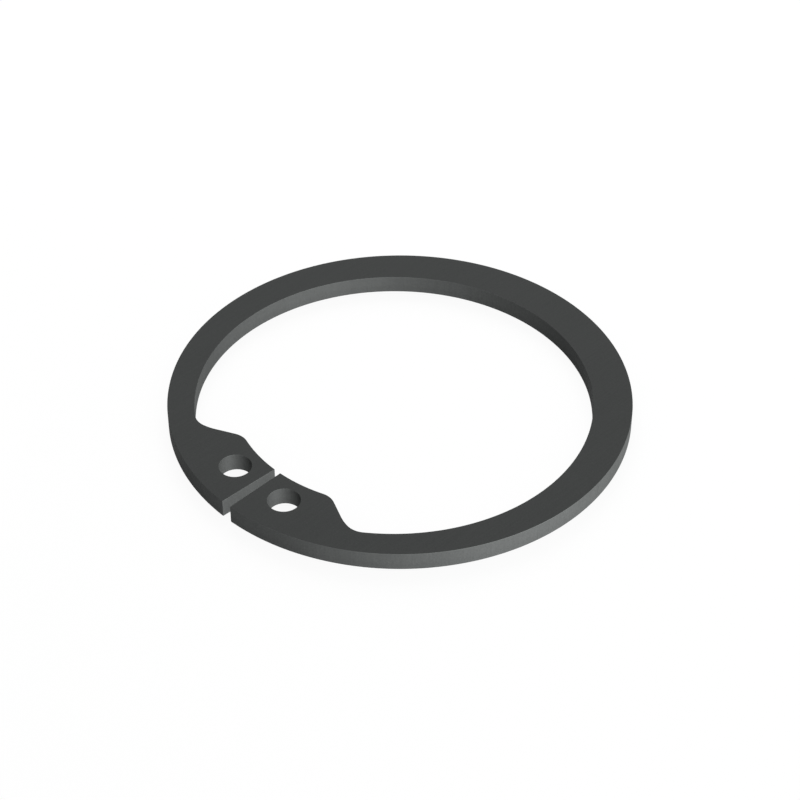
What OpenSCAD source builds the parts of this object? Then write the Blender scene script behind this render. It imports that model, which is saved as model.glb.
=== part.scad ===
// Circlip retaining ring for a bore: one flat piece stamped from spring steel strip.
// The ring lies flat. Its axis is Z, its underside is at Z = 0 and its gap faces -Y.
// The outline is made of arcs that run into each other, and three shapes cut or fill it:
// a puck for a rounded outer corner, a well for a hollow arc and a side for a straight stretch.
// Each of them also breaks the edges that it makes with both faces.

/* [Ring] */
// Diameter over the rim, which seats in the groove of a bore
rim_d = 36.5; // [34:0.1:42]
// Thickness of the strip
strip_t = 1.5; // [0.8:0.05:2]
// Width of the band opposite the gap, where it is widest
band_max = 3.3; // [2.6:0.05:3.8]
// Width of the band that the inner circle leaves at the gap, where it is narrowest
band_min = 1.975; // [1.4:0.025:2.4]

/* [Lugs] */
// Height of each lug, from the rim inwards
lug_h = 5.18; // [4.7:0.02:5.8]
// Angle from the middle of the gap to the centre of the lug's rounded corner
corner_ang = 19.1; // [16:0.1:24]
// Radius of the lug's rounded corner
corner_r = 1.54; // [0.8:0.02:1.9]
// Slope of the lug's flank, measured from the line across both lugs
flank_slope = 24.5; // [15:0.5:35]
// Radius of the hollow that blends the flank into the band
blend_r = 1.89; // [1:0.01:2.6]

/* [Plier holes] */
// Diameter of each plier hole
hole_d = 2.5; // [1.6:0.05:3]
// Distance from the rim to the centre of each plier hole
hole_in = 3.1; // [2.4:0.05:3.5]
// Angle from the middle of the gap to the centre of each plier hole
hole_ang = 10.3; // [7:0.1:13]

/* [Gap and edges] */
// Angle between the two end faces at the gap
gap_ang = 2.66; // [1:0.02:5]
// Width of the broken edge along both faces
edge_break = 0.03; // [0.02:0.01:0.15]

/* [Hidden] */
$fn = 180;

// How far a cutter runs past what it cuts
over = 1;
// How far an arc crosses the line or arc that it runs into, so that the outline closes
lap = 0.0005;

rim_r = rim_d / 2;
lug_r = rim_r - lug_h;

// The inner circle sits off the ring's centre, towards the gap, which tapers the band
inner_r = (rim_d - band_max - band_min) / 2;
inner_c = [0, (band_min - band_max) / 2];

// Directions along the flank and out of it, and from the ring's centre to the rounded corner
along = [cos(flank_slope), -sin(flank_slope)];
outward = [sin(flank_slope), cos(flank_slope)];
to_corner = [sin(corner_ang), -cos(corner_ang)];
corner_c = (lug_r + corner_r) * to_corner;

// The hollow touches the flank on one side and the inner circle on the other
blend_rise = (corner_c - inner_c) * outward + corner_r + blend_r;
blend_run = sqrt(pow(inner_r - blend_r, 2) - pow(blend_rise, 2));
blend_c = inner_c + blend_rise * outward + blend_run * along;
flank_len = (blend_c - corner_c) * along;

// Points in the middle of the band that the lug's solid parts grow from
root_r = rim_r - band_min / 2;
gap_root = [0, -root_r];
corner_root = root_r * to_corner;
blend_root = inner_c + (inner_r + band_min / 2) * (blend_c - inner_c) / norm(blend_c - inner_c);

// A disc of the strip with broken edges
module puck(r) {
  rotate_extrude()
    polygon([
      [0, 0],
      [r - edge_break, 0],
      [r, edge_break],
      [r, strip_t - edge_break],
      [r - edge_break, strip_t],
      [0, strip_t]
    ]);
}

// The cutter for a round opening or hollow, flared where it meets each face
module well(r) {
  flare = r + edge_break + over;
  rotate_extrude()
    polygon([
      [0, -over],
      [flare, -over],
      [r, edge_break],
      [r, strip_t - edge_break],
      [flare, strip_t + over],
      [0, strip_t + over]
    ]);
}

// The cutter for a straight side that runs along X for a length, with the waste at +Y
module side(length, waste) {
  flare = -edge_break - over;
  rotate([90, 0, 90])
    translate([0, 0, -over])
      linear_extrude(length + over)
        polygon([
          [waste, -over],
          [flare, -over],
          [0, edge_break],
          [0, strip_t - edge_break],
          [flare, strip_t + over],
          [waste, strip_t + over]
        ]);
}

// A flat piece of the strip with square edges, which the cutters then shape
module blank(points) {
  linear_extrude(strip_t) polygon(points);
}

// The band between the rim and the inner circle
module band() {
  difference() {
    puck(rim_r);
    translate(inner_c) well(inner_r);
  }
}

// One lug: the end by the gap, the rounded corner, and the flank with its hollow
module lug() {
  difference() {
    blank([[0, 0], gap_root, corner_root]);
    well(lug_r);
  }
  translate(corner_c) puck(corner_r + lap);
  difference() {
    blank([
      corner_c,
      gap_root,
      corner_root,
      blend_root,
      blend_c,
      corner_c + (corner_r + blend_r) * outward
    ]);
    translate(corner_c + corner_r * outward)
      rotate(-flank_slope)
        side(flank_len, blend_r + over);
    translate(blend_c) well(blend_r + lap);
  }
}

// All that lies on the gap's side of one end face, from outside the rim to the ring's centre
module past_end() {
  rotate(gap_ang / 2)
    translate([0, -rim_r - over])
      rotate(90)
        side(rim_r + over, rim_r);
}

module gap() {
  intersection() {
    past_end();
    mirror([1, 0, 0]) past_end();
  }
}

module plier_hole() {
  rotate(hole_ang)
    translate([0, hole_in - rim_r])
      well(hole_d / 2);
}

module retaining_ring() {
  color("dimgray")
    difference() {
      union() {
        band();
        lug();
        mirror([1, 0, 0]) lug();
      }
      plier_hole();
      mirror([1, 0, 0]) plier_hole();
      gap();
    }
}

retaining_ring();
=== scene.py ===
import bpy
import bmesh
import math
from mathutils import Matrix, Vector


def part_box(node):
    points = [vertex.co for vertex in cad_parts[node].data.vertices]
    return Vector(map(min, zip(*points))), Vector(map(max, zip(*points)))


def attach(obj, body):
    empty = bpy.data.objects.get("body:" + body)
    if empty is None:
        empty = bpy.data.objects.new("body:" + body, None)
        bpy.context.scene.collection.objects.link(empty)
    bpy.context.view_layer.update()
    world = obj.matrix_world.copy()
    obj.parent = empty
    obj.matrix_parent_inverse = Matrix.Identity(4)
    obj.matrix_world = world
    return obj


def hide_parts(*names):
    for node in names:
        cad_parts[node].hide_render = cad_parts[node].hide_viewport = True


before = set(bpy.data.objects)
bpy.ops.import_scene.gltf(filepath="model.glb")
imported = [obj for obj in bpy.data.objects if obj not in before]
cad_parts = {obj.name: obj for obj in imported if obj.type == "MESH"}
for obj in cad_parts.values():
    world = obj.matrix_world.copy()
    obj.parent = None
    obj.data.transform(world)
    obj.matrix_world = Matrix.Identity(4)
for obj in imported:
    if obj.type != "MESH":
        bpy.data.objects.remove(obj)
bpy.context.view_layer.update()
print("frame loaded")

mm = 0.001

# the stamped ring; its rim and its thickness come from the frame, and its angles are in degrees
ring = {
    "bandMax": 3.3 * mm,          # opposite the gap
    "bandMin": 1.975 * mm,        # what the inner circle leaves at the gap
    "lugHeight": 5.18 * mm,
    "cornerAngle": 19.0,          # from the middle of the gap
    "cornerRadius": 1.62 * mm,
    "flankSlope": 25.4,
    "easeRadius": 4.2 * mm,       # the flank bends gently first, then tighter into the band
    "easeAngle": 14.6,
    "blendRadius": 1.68 * mm,
    "holeDiameter": 2.5 * mm,
    "holeIn": 3.1 * mm,           # from the rim to the hole's centre
    "holeAngle": 10.3,            # from the middle of the gap
    "gapAngle": 2.66,             # between the two end faces
    "edgeRound": 0.03 * mm,
    "edgeSteps": 3,
    "sharpAngle": 60,             # edges that turn by more than this are rounded
    "flatness": 0.01,             # how far a normal may lean and still be a wall's or a flat face's
    "weldDistance": 0.0001 * mm,  # where the two halves meet
    "lugSteps": 28,               # edges along each stretch of the outline
    "cornerSteps": 14,
    "flankSteps": 5,
    "easeSteps": 6,
    "blendSteps": 18,
    "bandSteps": 200,
    "endSteps": 20,
}


def heading(degrees):
    a = math.radians(degrees)
    return Vector((math.cos(a), math.sin(a), 0))


def bearing(v):
    return math.degrees(math.atan2(v.y, v.x))


def addObject(name, data):
    made = bpy.data.objects.new(name, data)
    bpy.context.scene.collection.objects.link(made)
    return made


def addMesh(name, bm):
    mesh = bpy.data.meshes.new(name)
    bm.to_mesh(mesh)
    bm.free()
    return addObject(name, mesh)


def sweepArc(bm, vert, centre, degrees, steps):
    made = bmesh.ops.spin(bm, geom=[vert], cent=centre, axis=(0, 0, 1), angle=math.radians(degrees),
                          steps=steps, use_duplicate=False)
    return made["geom_last"][0]


def runStraight(bm, vert, way, steps):
    for i in range(steps):
        vert = bmesh.ops.extrude_vert_indiv(bm, verts=[vert])["verts"][0]
        vert.co += way / steps
    return vert


def edgesBesides(bm, known):
    known = set(known)
    return [e for e in bm.edges if e not in known]


def halfSheet(bm, rimR):
    r = ring
    middle = Vector((0, 0, 0))
    halfGap = r["gapAngle"] / 2
    lugR = rimR - r["lugHeight"]
    innerR = rimR - (r["bandMax"] + r["bandMin"]) / 2
    innerC = Vector((0, (r["bandMin"] - r["bandMax"]) / 2, 0))
    along = heading(-r["flankSlope"])
    outward = heading(90 - r["flankSlope"])
    cornerC = (lugR + r["cornerRadius"]) * heading(r["cornerAngle"] - 90)
    # the hollow is two arcs: the wide one touches the flank, and the tight one the inner circle
    easeEnd = r["easeAngle"] - 90 - r["flankSlope"]
    apart = (r["easeRadius"] - r["blendRadius"]) * heading(easeEnd)
    start = cornerC + outward * (r["cornerRadius"] + r["easeRadius"]) + apart
    rise = (start - innerC).dot(outward)
    run = math.sqrt((innerR - r["blendRadius"]) ** 2 - rise ** 2)
    blendC = innerC + outward * rise + along * run
    blendEnd = bearing(blendC - innerC)
    flank = along * (blendC - start).dot(along)

    # inner outline, from the gap round the lug and the band to the far side
    inner = [bm.verts.new(lugR * heading(halfGap - 90))]
    inner.append(sweepArc(bm, inner[-1], middle, r["cornerAngle"] - halfGap, r["lugSteps"]))
    lugEdges = list(bm.edges)
    inner.append(sweepArc(bm, inner[-1], cornerC, -r["cornerAngle"] - r["flankSlope"], r["cornerSteps"]))
    inner.append(runStraight(bm, inner[-1], flank, r["flankSteps"]))
    inner.append(sweepArc(bm, inner[-1], blendC - apart, r["easeAngle"], r["easeSteps"]))
    inner.append(sweepArc(bm, inner[-1], blendC, blendEnd - easeEnd, r["blendSteps"]))
    inner.append(sweepArc(bm, inner[-1], innerC, 90 - blendEnd, r["bandSteps"]))
    bandEdges = edgesBesides(bm, lugEdges)

    # rim, with as many edges beside each stretch of the inner outline
    outer = [bm.verts.new(rimR * heading(halfGap - 90))]
    for i, stretch in enumerate(("lug", "corner", "flank", "ease", "blend", "band")):
        turn = bearing(inner[i + 1].co) - bearing(outer[i].co)
        outer.append(sweepArc(bm, outer[i], middle, turn, r[stretch + "Steps"]))
        if stretch == "lug":
            lugEdges += edgesBesides(bm, lugEdges + bandEdges)
    bandEdges = edgesBesides(bm, lugEdges)
    inner[-1].co.x = outer[-1].co.x = 0
    bmesh.ops.bridge_loops(bm, edges=bandEdges)

    # the lug's end is a frame of edges, filled in towards the plier hole
    ends = [bm.edges.new((inner[0], outer[0])), bm.edges.get((inner[1], outer[1]))]
    cut = bmesh.ops.subdivide_edges(bm, edges=ends, cuts=r["endSteps"] - 1)
    ends = [g for g in cut["geom_split"] if isinstance(g, bmesh.types.BMEdge)]
    holeC = (rimR - r["holeIn"]) * heading(r["holeAngle"] - 90)
    hole = bmesh.ops.create_circle(bm, segments=2 * (r["lugSteps"] + r["endSteps"]),
                                   radius=r["holeDiameter"] / 2, matrix=Matrix.Translation(holeC))
    holeEdges = [e for e in bm.edges if all(v in hole["verts"] for v in e.verts)]
    bmesh.ops.bridge_loops(bm, edges=lugEdges + ends + holeEdges)


def makeRing():
    lo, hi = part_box("retaining_ring")
    bm = bmesh.new()
    halfSheet(bm, hi.x)
    bmesh.ops.mirror(bm, geom=bm.verts[:] + bm.edges[:] + bm.faces[:], matrix=Matrix.Identity(4),
                     merge_dist=ring["weldDistance"], axis="X")
    bmesh.ops.recalc_face_normals(bm, faces=bm.faces[:])
    print("sheet:", len(bm.verts), "points,", len(bm.faces), "faces")
    grown = bmesh.ops.extrude_face_region(bm, geom=bm.faces[:], use_keep_orig=True)
    top = [g for g in grown["geom"] if isinstance(g, bmesh.types.BMVert)]
    bmesh.ops.translate(bm, verts=top, vec=(0, 0, hi.z - lo.z))
    bmesh.ops.translate(bm, verts=bm.verts[:], vec=(0, 0, lo.z))
    bmesh.ops.recalc_face_normals(bm, faces=bm.faces[:])
    sharp = math.radians(ring["sharpAngle"])
    corners = [e for e in bm.edges if e.calc_face_angle(0) > sharp]
    bmesh.ops.bevel(bm, geom=corners, offset=ring["edgeRound"], offset_type="OFFSET", affect="EDGES",
                    segments=ring["edgeSteps"], profile=0.5, material=-1, clamp_overlap=False,
                    face_strength_mode="ALL")
    # the steel tells the cut walls and the broken edges apart by these
    wall = bm.faces.layers.float.new("wall")
    edge = bm.faces.layers.float.new("edge")
    bm.normal_update()
    for f in bm.faces:
        f.smooth = True
        tilt = abs(f.normal.z)
        f[wall] = tilt < ring["flatness"]
        f[edge] = ring["flatness"] < tilt < 1 - ring["flatness"]
    piece = addMesh("stampedRing", bm)
    flat = piece.modifiers.new("flatFaces", "WEIGHTED_NORMAL")
    flat.mode = "CORNER_ANGLE"
    flat.use_face_influence = True
    return piece


stampedRing = makeRing()
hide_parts("retaining_ring")
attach(stampedRing, "root")
print("ring made:", len(stampedRing.data.polygons), "faces")

# blackened spring steel: a thin dark coat over rolled strip, with cut walls
steel = {
    "dark": (0.0350, 0.0366, 0.0361),
    "light": (0.0538, 0.0562, 0.0554),
    "tone": 0.5,                  # where it lies between the two before the patterns
    "roughness": 0.65,
    "ior": 1.12,                  # the coat is porous and hardly glossy
    "metal": 0.6,                 # how much it still shines like metal
    "grazing": 0.45,              # and what is left of that shine at a flat angle
    "noiseDetail": 2,
    # each pattern's size, then how far it moves the tone, the roughness and the height
    "grain": ((0.09 * mm, 0.09 * mm, 0.09 * mm), 1.3, 0.16, 0.004 * mm),   # crystals of the coat
    "cloud": ((4.5 * mm, 4.5 * mm, 4.5 * mm), 0.5, 0.10, 0),               # its uneven thickness
    "rolled": ((0.14 * mm, 6 * mm, 0.14 * mm), 0.6, 0.08, 0.003 * mm),     # lines along the strip
    "sheared": ((0.11 * mm, 0.11 * mm, 4 * mm), 0.45, 0.10, 0.004 * mm),   # streaks down the walls
    # the die cuts the upper wall smooth and tears it below this height, along a wandering line
    "tornBelow": 0.62 * mm,
    "tornSpots": (0.6 * mm, 0.6 * mm, 6 * mm),
    "tornWander": 0.5 * mm,
    "tornFade": 0.28 * mm,
    "tornTone": -0.15,
    "tornRough": 0.03,
    "wornTone": 0.35,             # along the broken edges
}


def addNode(tree, kind, inputs, **settings):
    node = tree.nodes.new(kind)
    for name, value in settings.items():
        setattr(node, name, value)
    for name, value in inputs.items():
        if isinstance(value, bpy.types.NodeSocket):
            tree.links.new(value, node.inputs[name])
        else:
            node.inputs[name].default_value = value
    return node.outputs


def calc(tree, operation, *values):
    return addNode(tree, "ShaderNodeMath", dict(enumerate(values)), operation=operation)["Value"]


def total(tree, terms):
    result = terms[0]
    for term in terms[1:]:
        result = calc(tree, "ADD", result, term)
    return result


def spots(tree, coords, size):
    # soft noise from 0 to 1, with spots of that size along x, y and z
    scaled = addNode(tree, "ShaderNodeMapping", {"Vector": coords, "Scale": [1 / s for s in size]})
    return addNode(tree, "ShaderNodeTexNoise", {
        "Vector": scaled["Vector"],
        "Scale": 1,
        "Detail": steel["noiseDetail"],
    })["Fac"]


def swing(tree, noise, amount, mask=1):
    # amount times the noise's distance from its middle, where the mask lets it show
    return calc(tree, "MULTIPLY", calc(tree, "MULTIPLY_ADD", noise, amount, -amount / 2), mask)


def makeSteel():
    mat = bpy.data.materials.new("blackenedSteel")
    mat.use_nodes = True
    tree = mat.node_tree
    shader = tree.nodes["Principled BSDF"]
    coords = addNode(tree, "ShaderNodeTexCoord", {})["Object"]
    height = addNode(tree, "ShaderNodeSeparateXYZ", {"Vector": coords})["Z"]
    wall = addNode(tree, "ShaderNodeAttribute", {}, attribute_name="wall")["Fac"]
    edge = addNode(tree, "ShaderNodeAttribute", {}, attribute_name="edge")["Fac"]
    flat = calc(tree, "SUBTRACT", 1, wall)
    masks = {"grain": 1, "cloud": 1, "rolled": flat, "sheared": wall}
    tones, roughs, heights = [steel["tone"]], [steel["roughness"]], []
    for name, mask in masks.items():
        size, tone, rough, rise = steel[name]
        noise = spots(tree, coords, size)
        tones.append(swing(tree, noise, tone, mask))
        roughs.append(swing(tree, noise, rough, mask))
        if rise:
            heights.append(swing(tree, noise, rise, mask))
    wander = swing(tree, spots(tree, coords, steel["tornSpots"]), steel["tornWander"])
    torn = addNode(tree, "ShaderNodeMapRange", {
        "Value": calc(tree, "ADD", height, wander),
        "From Min": steel["tornBelow"] + steel["tornFade"],
        "From Max": steel["tornBelow"] - steel["tornFade"],
    }, interpolation_type="SMOOTHSTEP")["Result"]
    torn = calc(tree, "MULTIPLY", torn, wall)
    tones.append(calc(tree, "MULTIPLY", torn, steel["tornTone"]))
    roughs.append(calc(tree, "MULTIPLY", torn, steel["tornRough"]))
    tones.append(calc(tree, "MULTIPLY", edge, steel["wornTone"]))
    ramp = tree.nodes.new("ShaderNodeValToRGB")
    ramp.color_ramp.elements[0].color = (*steel["dark"], 1)
    ramp.color_ramp.elements[1].color = (*steel["light"], 1)
    tree.links.new(total(tree, tones), ramp.inputs["Fac"])
    tree.links.new(ramp.outputs["Color"], shader.inputs["Base Color"])
    tree.links.new(total(tree, roughs), shader.inputs["Roughness"])
    bump = addNode(tree, "ShaderNodeBump", {"Height": total(tree, heights), "Strength": 1, "Distance": 1})
    tree.links.new(bump["Normal"], shader.inputs["Normal"])
    shader.inputs["IOR"].default_value = steel["ior"]
    shader.inputs["Metallic"].default_value = steel["metal"]
    shader.inputs["Specular Tint"].default_value = (*[steel["grazing"]] * 3, 1)
    return mat


stampedRing.data.materials.append(makeSteel())
print("steel made")

# floor and light; bearings are seen from above, in degrees from +X towards +Y
studio = {
    "floorSize": 4.0,
    "floorColor": (0.98, 0.98, 0.98, 1),
    "backdropColor": (1, 1, 1, 1),
    "backdrop": 0.84,             # how much of it the camera and gloss see in place of the lit floor
    "worldStrength": 0.4,
    # each lamp's bearing, height, distance, size across and up, power in watts, and if it casts shadows
    "back": (135, 35, 0.3, 0.2, 0.2, 0.32, True),
    "front": (-15, 7, 1.5, 0.3, 0.3, 47.0, False),
    "side": (15, 7, 1.5, 0.3, 0.3, 35.0, False),
    # level with the ring and thinner than it, so that the rim keeps its light off the inner walls
    "level": (15, 0, 1.5, 0.3, 1.4 * mm, 27.9, True),
}


def whiteToCamera(tree):
    # 1 for what the camera, gloss and glass see
    rays = addNode(tree, "ShaderNodeLightPath", {})
    seen = total(tree, [rays["Is Camera Ray"], rays["Is Glossy Ray"], rays["Is Transmission Ray"]])
    return calc(tree, "MINIMUM", seen, 1)


def makeFloor():
    bm = bmesh.new()
    bmesh.ops.create_grid(bm, x_segments=1, y_segments=1, size=studio["floorSize"] / 2)
    floor = addMesh("floor", bm)
    mat = bpy.data.materials.new("floor")
    mat.use_nodes = True
    tree = mat.node_tree
    lit = tree.nodes["Principled BSDF"]
    lit.inputs["Base Color"].default_value = studio["floorColor"]
    lit.inputs["Specular IOR Level"].default_value = 0
    share = calc(tree, "MULTIPLY", whiteToCamera(tree), studio["backdrop"])
    glow = addNode(tree, "ShaderNodeEmission", {"Color": studio["backdropColor"], "Strength": 1})
    mixed = addNode(tree, "ShaderNodeMixShader", {0: share, 1: lit.outputs["BSDF"], 2: glow["Emission"]})
    tree.links.new(mixed["Shader"], tree.nodes["Material Output"].inputs["Surface"])
    floor.data.materials.append(mat)


def makeWorld():
    world = bpy.data.worlds.new("studio")
    bpy.context.scene.world = world
    world.use_nodes = True
    tree = world.node_tree
    strength = addNode(tree, "ShaderNodeMapRange", {
        "Value": whiteToCamera(tree),
        "To Min": studio["worldStrength"],
        "To Max": 1,
    })["Result"]
    tree.nodes["Background"].inputs["Color"].default_value = studio["backdropColor"]
    tree.links.new(strength, tree.nodes["Background"].inputs["Strength"])


def ringMiddle():
    lo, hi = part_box("retaining_ring")
    return Vector((0, 0, (lo.z + hi.z) / 2))


def makeLamp(name):
    bearingDeg, heightDeg, distance, across, tall, power, shadow = studio[name]
    lamp = bpy.data.lights.new(name, "AREA")
    lamp.shape = "ELLIPSE"
    lamp.size = across
    lamp.size_y = tall
    lamp.energy = power
    lamp.use_shadow = shadow
    holder = addObject(name, lamp)
    rise = math.radians(heightDeg)
    away = heading(bearingDeg) * math.cos(rise) + Vector((0, 0, math.sin(rise)))
    holder.location = ringMiddle() + away * distance
    holder.rotation_mode = "QUATERNION"
    holder.rotation_quaternion = away.to_track_quat("Z", "Y")


makeFloor()
makeWorld()
for name in ("back", "front", "side", "level"):
    makeLamp(name)
print("studio lit")

# camera, as in the photo; its azimuth is counted from the gap towards +X
view = {
    "azimuth": 45.0,
    "elevation": 40.0,
    "distance": 173.4 * mm,
    "lens": 98.94,
    "sensorWidth": 36.0,
    "clipStart": 10 * mm,
}


def makeCamera():
    cam = addObject("camera", bpy.data.cameras.new("camera"))
    cam.data.lens = view["lens"]
    cam.data.sensor_width = view["sensorWidth"]
    cam.data.clip_start = view["clipStart"]
    a, e = math.radians(view["azimuth"]), math.radians(view["elevation"])
    back = Vector((math.sin(a) * math.cos(e), -math.cos(a) * math.cos(e), math.sin(e)))
    cam.location = ringMiddle() + back * view["distance"]
    cam.rotation_mode = "QUATERNION"
    cam.rotation_quaternion = (-back).to_track_quat("-Z", "Y")
    bpy.context.scene.camera = cam


makeCamera()
bpy.context.scene.view_settings.view_transform = "Standard"
